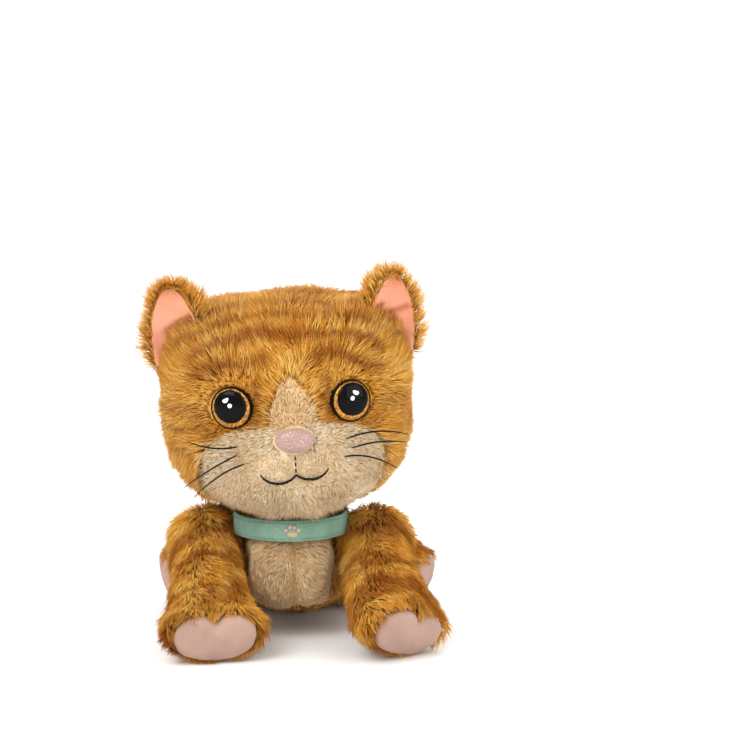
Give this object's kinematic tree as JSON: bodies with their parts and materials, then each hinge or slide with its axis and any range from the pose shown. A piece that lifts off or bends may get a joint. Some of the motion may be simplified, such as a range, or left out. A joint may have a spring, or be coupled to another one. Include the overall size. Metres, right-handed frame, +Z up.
{
  "type": "plush cat",
  "caption": "Soft stuffed cat resting on its seat and forelegs, with a turning and nodding head, folding ears, swinging legs and tail, glitter eyes, whiskers and a fleece collar.",
  "frame": {"origin": "on the floor, at the middle of the flat seat panel", "axes": "+Z up, the cat faces -Y, its left side is +X"},
  "size_m": [0.2319, 0.2863, 0.2807],
  "materials": {
    "ginger_pile": "matte",
    "cream_pile": "matte",
    "pink_plush": "matte",
    "ear_lining": "matte",
    "nose_satin": "satin",
    "sage_fleece": "matte",
    "black_thread": "matte",
    "eye_gold": "gloss",
    "eye_black": "gloss",
    "fibre_fill": "matte",
    "weighting_pellets": "matte"
  },
  "bodies": {
    "torso": {"torso_left_panel": "ginger_pile", "torso_right_panel": "ginger_pile", "chest_left_panel": "cream_pile", "chest_right_panel": "cream_pile", "seat_panel": "ginger_pile", "pellet_pouch": "weighting_pellets", "torso_stuffing": "fibre_fill", "collar_band": "sage_fleece", "collar_closure": "sage_fleece", "collar_emblem": "black_thread"},
    "neck": {"neck_core": "fibre_fill"},
    "head": {"head_front_panel": "ginger_pile", "head_back_panel": "ginger_pile", "blaze_panel": "cream_pile", "head_stuffing": "fibre_fill", "muzzle_panel": "cream_pile", "muzzle_stuffing": "fibre_fill", "nose_pad": "nose_satin", "mouth_stitching": "black_thread", "eye_left_rim": "eye_black", "eye_left_iris": "eye_gold", "eye_left_pupil": "eye_black", "eye_left_washer": "eye_black", "eye_right_rim": "eye_black", "eye_right_iris": "eye_gold", "eye_right_pupil": "eye_black", "eye_right_washer": "eye_black", "whisker_left_upper": "black_thread", "whisker_left_middle": "black_thread", "whisker_left_lower": "black_thread", "whisker_right_upper": "black_thread", "whisker_right_middle": "black_thread", "whisker_right_lower": "black_thread"},
    "ear_left": {"ear_left_back": "ginger_pile", "ear_left_lining": "ear_lining"},
    "ear_right": {"ear_right_back": "ginger_pile", "ear_right_lining": "ear_lining"},
    "front_leg_left": {"front_leg_left_cover": "ginger_pile", "front_leg_left_stuffing": "fibre_fill", "front_leg_left_pad": "pink_plush"},
    "front_leg_right": {"front_leg_right_cover": "ginger_pile", "front_leg_right_stuffing": "fibre_fill", "front_leg_right_pad": "pink_plush"},
    "hind_leg_left": {"hind_leg_left_cover": "ginger_pile", "hind_leg_left_stuffing": "fibre_fill", "hind_leg_left_pad": "pink_plush"},
    "hind_leg_right": {"hind_leg_right_cover": "ginger_pile", "hind_leg_right_stuffing": "fibre_fill", "hind_leg_right_pad": "pink_plush"},
    "tail": {"tail_cover": "ginger_pile", "tail_stuffing": "fibre_fill"}
  },
  "joints": [
    {"name": "neck_turn", "type": "hinge", "parent": "torso", "child": "neck", "pos_m": [0, -0.086, 0.1], "axis": [0, 0, 1], "range_deg": [-20, 20]},
    {"name": "head_nod", "type": "hinge", "parent": "neck", "child": "head", "pos_m": [0, -0.086, 0.1], "axis": [1, 0, 0], "range_deg": [-12, 2]},
    {"name": "ear_left_fold", "type": "hinge", "parent": "head", "child": "ear_left", "pos_m": [0.07423, -0.1037, 0.22578], "axis": [0.8344, 0.549, -0.0486], "range_deg": [-4, 18]},
    {"name": "ear_right_fold", "type": "hinge", "parent": "head", "child": "ear_right", "pos_m": [-0.07874, -0.1198, 0.21829], "axis": [0.9215, -0.3643, 0.1345], "range_deg": [-4, 18]},
    {"name": "front_leg_left_lift", "type": "hinge", "parent": "torso", "child": "front_leg_left", "pos_m": [0.065, -0.088, 0.067], "axis": [-1, 0, 0], "range_deg": [-12, 20]},
    {"name": "front_leg_right_lift", "type": "hinge", "parent": "torso", "child": "front_leg_right", "pos_m": [-0.065, -0.088, 0.067], "axis": [-1, 0, 0], "range_deg": [-12, 20]},
    {"name": "hind_leg_left_swing", "type": "hinge", "parent": "torso", "child": "hind_leg_left", "pos_m": [0.046, -0.006, 0.038], "axis": [0, 0, 1], "range_deg": [-15, 15]},
    {"name": "hind_leg_right_swing", "type": "hinge", "parent": "torso", "child": "hind_leg_right", "pos_m": [-0.046, -0.006, 0.038], "axis": [0, 0, -1], "range_deg": [-15, 15]},
    {"name": "tail_swing", "type": "hinge", "parent": "torso", "child": "tail", "pos_m": [0, 0.04, 0.02], "axis": [0, 0, 1], "range_deg": [-20, 20]}
  ]
}
